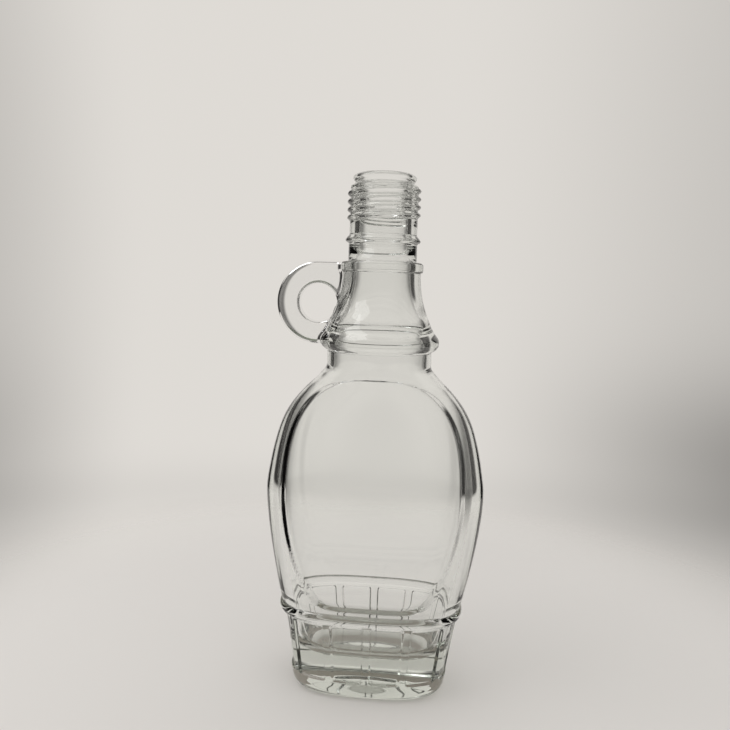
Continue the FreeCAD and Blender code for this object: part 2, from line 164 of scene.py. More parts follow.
def oval_xy(half_width: Value, half_depth: Value, squareness: float,
            angles: np.ndarray) -> tuple[np.ndarray, np.ndarray]:
    """Places points round an oval.

    Args:
        half_width: Half its size along x.
        half_depth: Half its size along y.
        squareness: 2 is an ellipse, and more is squarer.
        angles: Where round the oval the points are.

    Returns:
        The points' x and y.
    """
    c, s = np.cos(angles), np.sin(angles)
    scale = (np.abs(c) ** squareness + np.abs(s) ** squareness) ** (-1.0 / squareness)
    return half_width * c * scale, half_depth * s * scale


# ---- the body ---------------------------------------------------------------
@dataclass(frozen=True)
class BodySizes:
    """Sizes of the body's plain outside."""

    foot_half_width: float = 29.8
    foot_half_depth: float = 20.3
    foot_squareness: float = 3.0
    heel_radius: float = 4.5
    waist_height: float = 31.8
    waist_half_width: float = 34.9
    waist_half_depth: float = 20.7
    widest_height: float = 77.5
    half_width: float = 42.9
    half_depth: float = 22.4
    squareness: float = 2.3
    root_height: float = 127.5
    root_radius: float = 20.2
    flank_roundness: float = 1.5
    shoulder: tuple[tuple[float, float], ...] = (
        (0.20, 0.945), (0.40, 0.850), (0.56, 0.735), (0.68, 0.590), (0.80, 0.375), (0.90, 0.150))

    def shoulder_left(self, share: float) -> float:
        """Follows the shoulder's curve.

        Args:
            share: Share of the way up from the widest place to the neck's root.

        Returns:
            The share of the body's extra width that is left there.
        """
        knots = ((0.0, 1.0),) + self.shoulder + ((1.0, 0.0),)
        k = next(i for i in range(len(knots) - 1) if share <= knots[i + 1][0] + 1e-9)
        inner = [(knots[i + 1][1] - knots[i - 1][1]) / (knots[i + 1][0] - knots[i - 1][0])
                 for i in range(1, len(knots) - 1)]
        slopes = [0.0] + inner + [0.0]
        length = knots[k + 1][0] - knots[k][0]
        t = (share - knots[k][0]) / length
        rise = knots[k + 1][1] - knots[k][1]
        start = slopes[k] * length
        end = slopes[k + 1] * length
        square_part = (3 * rise - 2 * start - end) * t * t
        cube_part = (start + end - 2 * rise) * t ** 3
        return knots[k][1] + start * t + square_part + cube_part

    def oval(self, height: float) -> tuple[float, float, float]:
        """Gives the body's plain section.

        Args:
            height: Height above the foot.

        Returns:
            Half width, half depth and squareness.
        """
        if height <= self.waist_height:
            share = height / self.waist_height
            return (mix(self.foot_half_width, self.waist_half_width, share),
                    mix(self.foot_half_depth, self.waist_half_depth, share), self.foot_squareness)
        if height <= self.widest_height:
            share = (height - self.waist_height) / (self.widest_height - self.waist_height)
            left = 1.0 - (1.0 - share) ** self.flank_roundness
            return (mix(self.waist_half_width, self.half_width, left),
                    mix(self.waist_half_depth, self.half_depth, left),
                    mix(self.foot_squareness, self.squareness, left))
        if height < self.root_height:
            left = self.shoulder_left((height - self.widest_height) / (self.root_height - self.widest_height))
            return (mix(self.root_radius, self.half_width, left),
                    mix(self.root_radius, self.half_depth, left), mix(ROUND, self.squareness, left))
        return self.root_radius, self.root_radius, ROUND


@dataclass(frozen=True)
class Ridge:
    """Half-round ridge round the waist."""

    height: float = 31.8
    half_height: float = 2.0
    proud: float = 1.1
    fullness: float = 0.75

    def relief(self, height: float) -> float:
        """Measures the ridge.

        Args:
            height: Height above the foot.

        Returns:
            How far the ridge stands out there.
        """
        across = abs(height - self.height) / self.half_height
        return self.proud * max(0.0, 1.0 - across * across) ** self.fullness


@dataclass(frozen=True)
class Windows:
    """Sunk windows of the skirt, with ribs left between them."""

    count: int = 12
    depth: float = 0.9
    low: float = 7.0
    high: float = 29.7
    corner_shade: float = 1.4
    slope: float = 0.9
    rib: float = 2.4

    def relief(self, along: np.ndarray, pitch: float, height: float) -> np.ndarray:
        """Measures the windows.

        Args:
            along: Distances round the waist from a rib's middle.
            pitch: Distance between the ribs' middles.
            height: Height above the foot.

        Returns:
            Depth at each distance.
        """
        half_width = 0.5 * (pitch - self.rib)
        half_height = 0.5 * (self.high - self.low)
        across = np.abs(along % pitch - 0.5 * pitch) - (half_width - self.corner_shade)
        up = abs(height - 0.5 * (self.high + self.low)) - (half_height - self.corner_shade)
        beyond = np.hypot(np.maximum(across, 0.0), max(up, 0.0))
        within = np.minimum(np.maximum(across, up), 0.0)
        outside = beyond + within - self.corner_shade
        return self.depth * ease(-outside / self.slope)


@dataclass(frozen=True)
class Panels:
    """Sunk arched label panels on the front and the back."""

    depth: float = 1.0
    slope: float = 1.5
    half_width: float = 35.0
    foot_half_width: float = 22.0
    low: float = 35.5
    middle: float = 77.5
    high: float = 124.0
    arch_power: float = 2.6
    foot_power: float = 8.0
    flank_roundness: float = 1.8
    back_depth: float = 0.5
    back_slope: float = 4.0
    flat_reach: float = 0.2

    def relief(self, x: np.ndarray, height: float, side: np.ndarray) -> np.ndarray:
        """Measures the panels.

        Args:
            x: Places across the body.
            height: Height above the foot.
            side: Negative on the front, positive on the back.

        Returns:
            Depth at each place.
        """
        rise = height - self.middle
        if rise > 0.0:
            half_width = self.half_width
            half_height = self.high - self.middle
            power = self.arch_power
        else:
            share = min(1.0, -rise / (self.middle - self.low))
            half_width = mix(self.half_width, self.foot_half_width, share ** self.flank_roundness)
            half_height = self.middle - self.low
            power = self.foot_power
        reach = ((np.abs(x) / half_width) ** power + (abs(rise) / half_height) ** power) ** (1.0 / power)
        from_edge = np.hypot(x, rise) * (1.0 / np.maximum(reach, 1e-6) - 1.0)
        inside = np.where(reach > self.flat_reach, from_edge, self.back_slope)
        front = self.depth * ease(inside / self.slope)
        back = self.back_depth * ease(inside / self.back_slope)
        return np.where(side < 0.0, front, back)


@dataclass
class Columns:
    """Where the skin's columns run: closest beside the skirt's ribs."""

    body: BodySizes
    windows: Windows
    fine_steps: int = 5760
    angles: np.ndarray = field(init=False)
    along: np.ndarray = field(init=False)
    pitch: float = field(init=False)

    def __post_init__(self) -> None:
        """Measures the waist and places the columns along it."""
        fine = -0.5 * math.pi + 2.0 * math.pi * np.arange(self.fine_steps + 1) / self.fine_steps
        x, y = oval_xy(self.body.waist_half_width, self.body.waist_half_depth,
                       self.body.foot_squareness, fine)
        lengths = np.concatenate([[0.0], np.cumsum(np.hypot(np.diff(x), np.diff(y)))])
        self.pitch = lengths[-1] / self.windows.count
        half = self._half_pitch()
        one = np.concatenate([half, self.pitch - half[:0:-1]])
        self.along = (np.arange(self.windows.count)[:, None] * self.pitch + one).ravel()
        self.angles = np.interp(self.along, lengths, fine)

    def _half_pitch(self) -> np.ndarray:
        """Returns column places from a rib's middle to the middle of a window."""
        edge = 0.5 * self.windows.rib
        slope_end = edge + self.windows.slope
        middle = 0.5 * self.pitch
        return np.concatenate([spaced(0.0, edge, 0.4), spaced(edge, slope_end, 0.15),
                               spaced(slope_end, slope_end + 1.0, 0.34),
                               spaced(slope_end + 1.0, middle, 0.62), [middle]])


# ---- the neck ---------------------------------------------------------------
@dataclass(frozen=True)
class NeckSizes:
    """Sizes of the round parts above the body."""

    root_radius: float = 20.2
    root_height: float = 127.5
    bead_low: float = 132.9
    bead_crest: float = 137.3
    bead_top: float = 142.3
    bead_radius: float = 22.9
    flare_foot: float = 19.8
    flare_top: float = 14.9
    collar_low: float = 162.7
    collar_top: float = 166.8
    collar_radius: float = 15.8
    collar_edge: float = 1.2
    finish_radius: float = 13.1
    transfer_low: float = 173.8
    transfer_top: float = 176.8
    transfer_radius: float = 14.35
    core_radius: float = 12.9
    groove_low: float = 195.8
    groove_radius: float = 11.2
    lip_radius: float = 12.1
    mouth: float = 199.7
    bore: float = 9.3
    mouth_round: float = 1.1
    curve_step: float = 0.1
    row_step: float = 0.24
    corner_softness: float = 0.55

    def bead(self) -> np.ndarray:
        """Returns the bead's radius and height, from the root to the flare."""
        low_radius = mix(self.root_radius, self.bead_radius, 0.6)
        high_radius = mix(self.flare_foot, self.bead_radius, 0.42)
        high = mix(self.bead_crest, self.bead_top, 0.55)
        return smooth_curve([(self.root_radius, self.bead_low), (low_radius, self.bead_low + 0.9),
                             (self.bead_radius, self.bead_crest), (high_radius, high),
                             (self.flare_foot, self.bead_top)], self.curve_step)

    def flare(self) -> np.ndarray:
        """Returns the flaring cone's radius and height, from the bead to the collar."""
        run = self.flare_top - self.flare_foot
        climb = self.collar_low - self.bead_top
        return smooth_curve([(self.flare_foot, self.bead_top),
                             (self.flare_foot + 0.56 * run, self.bead_top + 0.33 * climb),
                             (self.flare_foot + 0.90 * run, self.bead_top + 0.68 * climb),
                             (self.flare_top, self.collar_low)], self.curve_step)

    def collar(self) -> np.ndarray:
        """Returns the collar's radius and height, with its two edges as arcs."""
        turn = np.radians(np.arange(0.0, 91.0, 9.0))
        edge = self.collar_edge
        low_edge = np.stack([self.collar_radius - edge + edge * np.sin(turn),
                             self.collar_low + edge - edge * np.cos(turn)], axis=1)
        high_edge = np.stack([self.collar_radius - edge + edge * np.cos(turn),
                              self.collar_top - edge + edge * np.sin(turn)], axis=1)
        return np.concatenate([low_edge, high_edge])

    def finish(self) -> np.ndarray:
        """Returns the finish's radius and height without its thread, up to the mouth."""
        transfer = smooth_curve([(self.finish_radius, self.transfer_low),
                                 (self.transfer_radius, self.transfer_low + 0.8),
                                 (self.core_radius, self.transfer_top)], self.curve_step)
        lip_height = self.groove_low + 0.62 * (self.mouth - self.groove_low)
        lip = smooth_curve([(self.core_radius, self.groove_low - 0.6),
                            (self.groove_radius, self.groove_low + 0.6), (self.lip_radius, lip_height),
                            (self.bore + self.mouth_round, self.mouth)], self.curve_step)
        return np.concatenate([[(self.finish_radius, self.collar_top)], transfer, lip])

    def outline(self) -> np.ndarray:
        """Returns the outside's radius and height from the root up to the mouth."""
        start = [(self.root_radius, self.root_height), (self.root_radius, self.bead_low - 0.5)]
        path = np.concatenate([start, self.bead(), self.flare(), self.collar(), self.finish()])
        return softened(path, self.row_step, self.corner_softness)


@dataclass(frozen=True)
class Thread:
    """Right-hand screw ridge on the finish."""

    core: float = 12.9
    crest: float = 14.0
    pitch: float = 3.0
    turns: float = 4.2
    half_width: float = 1.25
    start: float = 181.7
    fade: float = 0.25
    fullness: float = 1.3

    def relief(self, angles: np.ndarray, height: float) -> np.ndarray:
        """Measures the screw ridge.

        Args:
            angles: Directions round the neck.
            height: Height above the foot.

        Returns:
            How far the ridge stands out in each direction.
        """
        around = (angles % (2.0 * math.pi)) / (2.0 * math.pi)
        out = np.zeros_like(angles)
        for whole in range(int(self.turns) + 1):
            turn = around + whole
            fade = np.clip(np.minimum(turn, self.turns - turn) / self.fade, 0.0, 1.0)
            across = np.abs(height - self.start - self.pitch * turn) / self.half_width
            bump = np.cos(0.5 * math.pi * np.clip(across, 0.0, 1.0)) ** self.fullness
            out = np.maximum(out, (self.crest - self.core) * np.sin(0.5 * math.pi * fade) * bump)
        return out


# ---- the hollow -------------------------------------------------------------
@dataclass(frozen=True)
class Hollow:
    """Sizes of the inside, from the thick floor to the mouth."""

    side_wall: float = 4.0
    front_wall: float = 2.6
    floor: float = 14.5
    floor_corner: float = 8.5
    root_bore: float = 17.6
    bead_bore: float = 17.4
    flare_bore: float = 11.0
    widening: float = 8.0
    shoulder_rows_to: float = 107.5

    def bore_path(self, neck: NeckSizes) -> np.ndarray:
        """Draws the inside of the neck.

        Args:
            neck: Sizes of the neck that the bore runs through.

        Returns:
            Radius and height, from the mouth down to the root.
        """
        slope = self.flare_bore - self.bead_bore
        climb = neck.collar_low - neck.bead_top
        low = neck.collar_top + 0.5
        full = low + self.widening
        wall = smooth_curve([(self.root_bore, neck.bead_low - 0.5), (self.bead_bore, neck.bead_crest),
                             (self.bead_bore + 0.10 * slope, neck.bead_top),
                             (self.bead_bore + 0.60 * slope, neck.bead_top + 0.36 * climb),
                             (self.bead_bore + 0.90 * slope, neck.bead_top + 0.68 * climb),
                             (self.flare_bore, neck.collar_low), (self.flare_bore, low),
                             (mix(self.flare_bore, neck.bore, 0.6), mix(low, full, 0.5)),
                             (neck.bore, full)], 0.3)
        turn = np.radians(np.arange(0.0, 91.0, 15.0))
        rim = np.stack([neck.bore + neck.mouth_round * (1.0 - np.cos(turn)),
                        neck.mouth - neck.mouth_round * (1.0 - np.sin(turn))], axis=1)
        path = np.concatenate([[(self.root_bore, neck.root_height)], wall, rim])
        return softened(path, 0.45, 0.5)[::-1]

    def body_rows(self, body: BodySizes, angles: np.ndarray) -> list[np.ndarray]:
        """Draws the inside of the body.

        Args:
            body: Sizes of the body round the hollow.
            angles: Where round the body the points are.

        Returns:
            Rings of points from the neck's root down to the floor's rim.
        """
        top = self.floor + self.floor_corner
        heights = np.concatenate([spaced(body.root_height, self.shoulder_rows_to, 0.8),
                                  spaced(self.shoulder_rows_to, top, 1.4)])
        turn = np.radians(np.arange(0.0, 90.0, 5.0))
        heights = np.concatenate([heights, top - self.floor_corner * np.sin(turn), [self.floor]])
        rows = []
        root_wall = body.root_radius - self.root_bore
        for height in heights:
            half_width, half_depth, squareness = body.oval(height)
            drop = min(1.0, max(0.0, (top - height) / self.floor_corner))
            pull = self.floor_corner * (1.0 - math.sqrt(1.0 - drop * drop))
            up = max(0.0, (height - body.widest_height) / (body.root_height - body.widest_height))
            x, y = oval_xy(half_width - mix(self.side_wall, root_wall, up) - pull,
                           half_depth - mix(self.front_wall, root_wall, up) - pull, squareness, angles)
            rows.append(np.stack([x, y, np.full_like(x, height)], axis=1))
        return rows


# ---- the handle -------------------------------------------------------------
@dataclass(frozen=True)
class Handle:
    """Flat ring with a round hole, grown into the neck."""

    radius: float = 16.0
    hole: float = 7.3
    reach: float = 24.2
    height: float = 150.8
    thickness: float = 7.0
    outer_round: float = 1.9
    hole_round: float = 1.6
    fillet: float = 1.6
    steps: int = 240

    def outer_edge(self, angle: float, middle_wall: Callable) -> float:
        """Finds how far the ring's outside is from the hole's middle.

        Args:
            angle: Direction in the handle's plane; 0 points at the neck.
            middle_wall: Function from a height to the radius inside the neck's wall.

        Returns:
            Distance to the round edge or to the middle of the neck's wall.
        """
        c, s = math.cos(angle), math.sin(angle)
        if c <= 0.0:
            return self.radius
        flat = self.radius / max(abs(s), 1e-6)
        for distance in np.arange(self.hole, flat, 0.05):
            if self.reach - distance * c <= middle_wall(self.height + distance * s):
                return float(distance)
        return flat

    def section(self, width: float) -> np.ndarray:
        """Draws the ring's section with its edges rounded.

        Args:
            width: Distance from the hole's edge to the ring's outside.

        Returns:
            Distance from the hole's edge and offset across, all the way round.
        """
        half = 0.5 * self.thickness
        turn = np.radians(np.arange(0.0, 91.0, 15.0))
        inner = self.hole_round
        outer = self.outer_round
        flat = np.linspace(inner, width - outer, 14)[1:-1]
        low_in = np.stack([inner - inner * np.cos(turn), -half + inner - inner * np.sin(turn)], axis=1)
        low_out = np.stack([width - outer + outer * np.sin(turn),
                            -half + outer - outer * np.cos(turn)], axis=1)
        low = np.concatenate([low_in, np.stack([flat, np.full_like(flat, -half)], axis=1), low_out])
        return np.concatenate([low, (low * (1.0, -1.0))[::-1]])

    def mesh_data(self, outside: Callable,
                  middle_wall: Callable) -> tuple[np.ndarray, list[tuple[int, ...]]]:
        """Makes the ring's points and faces.

        Args:
            outside: Function from a height to the neck's outside radius.
            middle_wall: Function from a height to the radius inside the neck's wall.

        Returns:
            Points in millimetres and the faces' corners.
        """
        steps = self.steps
        points = []
        for i in range(steps):
            angle = 2.0 * math.pi * i / steps
            section = self.section(self.outer_edge(angle, middle_wall) - self.hole)
            out = self.hole + section[:, 0]
            x = -self.reach + out * math.cos(angle)
            z = self.height + out * math.sin(angle)
            gap = np.maximum(0.0, -x - outside(z))
            near = np.clip(1.0 - gap / self.fillet, 0.0, 1.0)
            swell = 1.0 + self.fillet * (1.0 - np.sqrt(1.0 - near * near)) / (0.5 * self.thickness)
            points.append(np.stack([x, section[:, 1] * swell, z], axis=1))
        grid = np.stack(points)
        count = grid.shape[1]
        faces = []
        for i in range(steps):
            for j in range(count):
                k = (i + 1) % steps
                n = (j + 1) % count
                faces.append((i * count + j, k * count + j, k * count + n, i * count + n))
        return grid.reshape(-1, 3), faces


# ---- the bottle -------------------------------------------------------------
@dataclass
class Bottle:
    """The whole glass, outside, inside and handle, as one closed skin."""

    body: BodySizes = field(default_factory=BodySizes)
    ridge: Ridge = field(default_factory=Ridge)
    windows: Windows = field(default_factory=Windows)
    panels: Panels = field(default_factory=Panels)
    neck: NeckSizes = field(default_factory=NeckSizes)
    thread: Thread = field(default_factory=Thread)
    hollow: Hollow = field(default_factory=Hollow)
    handle: Handle = field(default_factory=Handle)
    push_up: float = 1.8
    bearing_ring: float = 4.5
    joint_from_x: float = -10.0
    joint_half_depth: float = 8.0
    joint_low: float = 130.0
    joint_high: float = 170.5
    joint_reach: float = 0.25
    joint_crease: float = 18.0
    shoulder_rows_from: float = 106.5
    window_margin: float = 2.5
    ridge_margin: float = 0.8

    def __post_init__(self) -> None:
        """Places the skin's columns."""
        self.columns = Columns(self.body, self.windows)

    def ring(self, x: np.ndarray, y: np.ndarray, height: Value) -> np.ndarray:
        """Puts one ring of the skin together.

        Args:
            x: The points' x.
            y: The points' y.
            height: One height for all of them.

        Returns:
            The ring's points.
        """
        return np.stack([x, y, np.broadcast_to(height, x.shape)], axis=1)

    def underside_rows(self) -> list[np.ndarray]:
        """Returns rings from the middle of the push-up out to the bearing ring."""
        inset = self.body.heel_radius + self.bearing_ring
        half_width = self.body.foot_half_width - inset
        half_depth = self.body.foot_half_depth - inset
        rows = []
        for share in np.linspace(0.04, 1.0, 26):
            height = self.push_up * (0.5 + 0.5 * math.cos(math.pi * share))
            x, y = oval_xy(half_width * share, half_depth * share, ROUND, self.columns.angles)
            rows.append(self.ring(x, y, height))
        for share in (0.3, 0.6, 0.85):
            x, y = oval_xy(half_width + self.bearing_ring * share, half_depth + self.bearing_ring * share,
                           mix(ROUND, self.body.foot_squareness, share), self.columns.angles)
            rows.append(self.ring(x, y, 0.0))
        return rows

    def body_heights(self) -> np.ndarray:
        """Returns the outside's heights up to the neck root, closest at its relief."""
        body, windows, panels = self.body, self.windows, self.panels
        ridge_low = self.ridge.height - self.ridge.half_height
        ridge_high = self.ridge.height + self.ridge.half_height
        heel = body.heel_radius * (1.0 - np.cos(np.radians(np.arange(0.0, 90.0, 6.0))))
        # where each run of rows stops, and about how far apart its rows are
        runs = [(windows.low, 0.5), (windows.low + windows.slope, 0.15),
                (windows.low + self.window_margin, 0.4), (windows.high - self.window_margin, 1.2),
                (windows.high - windows.slope, 0.4), (ridge_low, 0.15),
                (ridge_low + self.ridge_margin, 0.12), (ridge_high - self.ridge_margin, 0.3),
                (ridge_high, 0.12), (panels.low, 0.4), (panels.low + panels.slope, 0.3),
                (body.widest_height, 1.3), (self.shoulder_rows_from, 1.0), (body.root_height, 0.45)]
        rows = [heel]
        low = body.heel_radius
        for high, step in runs:
            rows.append(spaced(low, high, step))
            low = high
        return np.concatenate(rows)

    def body_rows(self) -> list[np.ndarray]:
        """Returns rings up the outside of the body."""
        rows = []
        angles = self.columns.angles
        for height in self.body_heights():
            half_width, half_depth, squareness = self.body.oval(height)
            drop = max(0.0, 1.0 - height / self.body.heel_radius)
            relief = self.body.heel_radius * (1.0 - math.sqrt(1.0 - drop * drop)) - self.ridge.relief(height)
            if height < self.ridge.height:
                relief = relief + self.windows.relief(self.columns.along, self.columns.pitch, height)
            else:
                plain_x, plain_y = oval_xy(half_width, half_depth, squareness, angles)
                relief = relief + self.panels.relief(plain_x, height, plain_y)
            x, y = oval_xy(half_width - relief, half_depth - relief, squareness, angles)
            rows.append(self.ring(x, y, height))
        return rows

    def neck_rows(self) -> list[np.ndarray]:
        """Returns rings up the outside of the neck to the mouth."""
        rows = []
        angles = self.columns.angles
        for radius, height in self.neck.outline():
            around = radius + self.thread.relief(angles, height)
            rows.append(self.ring(around * np.cos(angles), around * np.sin(angles), height))
        return rows

    def bore_rows(self) -> list[np.ndarray]:
        """Returns rings down the inside of the neck."""
        angles = self.columns.angles
        path = self.hollow.bore_path(self.neck)[1:-1]
        return [self.ring(radius * np.cos(angles), radius * np.sin(angles), height)
                for radius, height in path]

    def floor_rows(self, rim: np.ndarray) -> list[np.ndarray]:
        """Draws the hollow's floor.

        Args:
            rim: The floor's outermost ring.

        Returns:
            Rings from the rim to near the middle.
        """
        return [rim * (share, share, 1.0) for share in np.linspace(0.9, 0.05, 16)]

    def skin_mesh(self) -> bpy.types.Mesh:
        """Returns the closed skin without its handle."""
        inner = self.hollow.body_rows(self.body, self.columns.angles)
        rows = (self.underside_rows() + self.body_rows() + self.neck_rows() + self.bore_rows()
                + inner + self.floor_rows(inner[-1]))
        grid = np.stack(rows)
        count, around = grid.shape[:2]
        first = [0.0, 0.0, self.push_up]
        last = [0.0, 0.0, self.hollow.floor]
        points = np.concatenate([grid.reshape(-1, 3), [first, last]]) * MM
        j = np.arange(around)
        n = (j + 1) % around
        i = np.arange(count - 1)[:, None] * around
        quads = np.stack([i + j, i + n, i + around + n, i + around + j], axis=2).reshape(-1, 4)
        top = (count - 1) * around
        middle = count * around
        caps = np.concatenate([np.stack([n, j, np.full(around, middle)], axis=1),
                               np.stack([top + j, top + n, np.full(around, middle + 1)], axis=1)])
        mesh = bpy.data.meshes.new("bottle_skin")
        mesh.from_pydata(points.tolist(), [], quads.tolist() + caps.tolist())
        mesh.validate()
        return mesh

    def handle_mesh(self) -> bpy.types.Mesh:
        """Returns the handle's own closed mesh."""
        outline = self.neck.outline()
        bore = self.hollow.bore_path(self.neck)[::-1]

        def outside(height: Value) -> Value:
            """Returns the neck's outside radius at a height."""
            return np.interp(height, outline[:, 1], outline[:, 0])

        def middle_wall(height: Value) -> Value:
            """Returns the radius halfway through the neck's wall at a height."""
            return 0.5 * (outside(height) + np.interp(height, bore[:, 1], bore[:, 0]))

        points, faces = self.handle.mesh_data(outside, middle_wall)
        mesh = bpy.data.meshes.new("handle_ring")
        mesh.from_pydata((points * MM).tolist(), [], faces)
        return mesh

    def join_handle(self, skin: bpy.types.Object, handle: bpy.types.Object) -> None:
        """Joins the handle into the skin, with nothing left inside the glass.

        Args:
            skin: The bottle's closed skin, which keeps the joined shape.
            handle: The handle's own object, which is taken away.
        """
        join = skin.modifiers.new("join", "BOOLEAN")
        join.operation = "UNION"
        join.solver = "MANIFOLD"
        join.object = handle
        graph = bpy.context.evaluated_depsgraph_get()
        mesh = bpy.data.meshes.new_from_object(skin.evaluated_get(graph))
        skin.modifiers.clear()
        skin.data = mesh
        bpy.data.objects.remove(handle)

    def soften_joint(self, mesh: bpy.types.Mesh) -> None:
        """Melts the crease where the handle grows out of the neck.

        Args:
            mesh: The joined mesh.
        """
        outline = self.neck.outline()
        bm = bmesh.new()
        bm.from_mesh(mesh)
        creased = []
        for edge in bm.edges:
            if not edge.is_manifold:
                continue
            middle = (edge.verts[0].co + edge.verts[1].co) / (2.0 * MM)
            if middle.x > self.joint_from_x or abs(middle.y) > self.joint_half_depth:
                continue
            if not self.joint_low < middle.z < self.joint_high:
                continue
            radius = math.hypot(middle.x, middle.y)
            outside = np.interp(middle.z, outline[:, 1], outline[:, 0])
            near = abs(radius - outside) < self.joint_reach
            if near and edge.calc_face_angle(0.0) > math.radians(self.joint_crease):
                creased.append(edge)
        ring = {vert for edge in creased for vert in edge.verts}
        for _ in range(2):
            ring |= {edge.other_vert(vert) for vert in list(ring) for edge in vert.link_edges}
        for _ in range(4):
            bmesh.ops.smooth_vert(bm, verts=list(ring), factor=0.5,
                                  use_axis_x=True, use_axis_y=True, use_axis_z=True)
        bmesh.ops.recalc_face_normals(bm, faces=bm.faces)
        bm.to_mesh(mesh)
        bm.free()
        log.info("handle joint softened at %d points", len(ring))

    def build(self) -> bpy.types.Object:
        """Returns the finished piece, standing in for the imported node."""
        skin = bpy.data.objects.new("bottle_glass", self.skin_mesh())
        handle = bpy.data.objects.new("handle_ring", self.handle_mesh())
        for piece in (skin, handle):
            bpy.context.scene.collection.objects.link(piece)
        self.join_handle(skin, handle)
        self.soften_joint(skin.data)
        skin.data.shade_smooth()
        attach(skin, "root")
        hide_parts("bottle")
        log.info("bottle_glass: %d points, %d faces", len(skin.data.vertices), len(skin.data.polygons))
        return skin


# ---- materials --------------------------------------------------------------
@dataclass(frozen=True)
class ClearGlass:
    """Clear moulded glass, faintly green where it is thick, with a slight ripple."""

    tint: tuple[float, float, float] = (0.99, 0.995, 0.99)
    thick_tint: tuple[float, float, float] = (0.42, 0.52, 0.36)
    thickness_density: float = 9.0
    ior: float = 1.50
    ripple_scale: float = 90.0
    ripple_depth: float = 0.00002
    shade_kept: float = 0.80

    def add_ripple(self, tree: bpy.types.NodeTree) -> None:
        """Gives the surface the shallow waves of moulded glass.

        Args:
            tree: The material's nodes.
        """
        place = tree.nodes.new("ShaderNodeTexCoord")
        noise = tree.nodes.new("ShaderNodeTexNoise")
        noise.inputs["Scale"].default_value = self.ripple_scale
        noise.inputs["Detail"].default_value = 1.0
        bump = tree.nodes.new("ShaderNodeBump")
        bump.inputs["Strength"].default_value = 1.0
        bump.inputs["Distance"].default_value = self.ripple_depth
        tree.links.new(place.outputs["Object"], noise.inputs["Vector"])
        tree.links.new(noise.outputs["Fac"], bump.inputs["Height"])
        tree.links.new(bump.outputs["Normal"], tree.nodes["Principled BSDF"].inputs["Normal"])

    def build(self) -> bpy.types.Material:
        """Returns the material."""
        material = bpy.data.materials.new("clear_glass")
        material.use_nodes = True
        nodes = material.node_tree.nodes
        links = material.node_tree.links
        shader = nodes["Principled BSDF"]
        output = nodes["Material Output"]
        shader.inputs["Base Color"].default_value = (*self.tint, 1.0)
        shader.inputs["Transmission Weight"].default_value = 1.0
        shader.inputs["Roughness"].default_value = 0.0
        shader.inputs["IOR"].default_value = self.ior
        self.add_ripple(material.node_tree)
        volume = nodes.new("ShaderNodeVolumeAbsorption")
        volume.inputs["Color"].default_value = (*self.thick_tint, 1.0)
        volume.inputs["Density"].default_value = self.thickness_density
        links.new(volume.outputs["Volume"], output.inputs["Volume"])
        # lamplight passes straight through, so that the table gets a pale shadow
        light_path = nodes.new("ShaderNodeLightPath")
        clear = nodes.new("ShaderNodeBsdfTransparent")
        clear.inputs["Color"].default_value = (self.shade_kept, self.shade_kept, self.shade_kept, 1.0)
        blend = nodes.new("ShaderNodeMixShader")
        links.new(light_path.outputs["Is Shadow Ray"], blend.inputs["Fac"])
        links.new(shader.outputs["BSDF"], blend.inputs[1])
        links.new(clear.outputs["BSDF"], blend.inputs[2])
        links.new(blend.outputs["Shader"], output.inputs["Surface"])
        return material


# ---- stage ------------------------------------------------------------------
@dataclass
class NodeMaker:
    """Adds nodes to one node tree and links them by what they are given."""

    tree: bpy.types.NodeTree

    def add(self, kind: str, *inputs, **settings) -> bpy.types.Node:
        """Adds a node.

        Args:
            kind: Node type.
            inputs: Value or output for each input in order; None leaves it alone.
            settings: Attributes of the node.

        Returns:
            The new node.
        """
        node = self.tree.nodes.new(kind)
        for name, value in settings.items():
            setattr(node, name, value)
        for socket, value in zip(node.inputs, inputs):
            if isinstance(value, bpy.types.NodeSocket):
                self.tree.links.new(value, socket)
            elif value is not None:
                socket.default_value = value
        return node

    def math(self, operation: str, *inputs) -> bpy.types.NodeSocket:
        """Works out one step of arithmetic.

        Args:
            operation: Name of the step.
            inputs: Numbers or outputs that it works on.

        Returns:
            The result's output.
        """
        return self.add("ShaderNodeMath", *inputs, operation=operation).outputs[0]

    def ramp(self, value: bpy.types.NodeSocket, *limits: float) -> bpy.types.NodeSocket:
        """Makes a smooth step.

        Args:
            value: Output that the step follows.
            limits: Where the step starts and ends, and its value there.

        Returns:
            The step's output.
        """
        return self.add("ShaderNodeMapRange", value, *limits, interpolation_type="SMOOTHSTEP").outputs[0]

    def hump(self, value: bpy.types.NodeSocket, middle: float, width: float) -> bpy.types.NodeSocket:
        """Makes a bell-shaped hump of height 1.

        Args:
            value: Output that the hump follows.
            middle: Where it is highest.
            width: How far from there it falls to about a third.

        Returns:
            The hump's output.
        """
        off = self.math("DIVIDE", self.math("SUBTRACT", value, middle), width)
        return self.math("EXPONENT", self.math("MULTIPLY", self.math("MULTIPLY", off, off), -1.0))


@dataclass(frozen=True)
class SideShade:
    """How much shade is painted onto the backdrop towards one side."""

    start: float
    end: float
    dim: float
    corner_dim: float


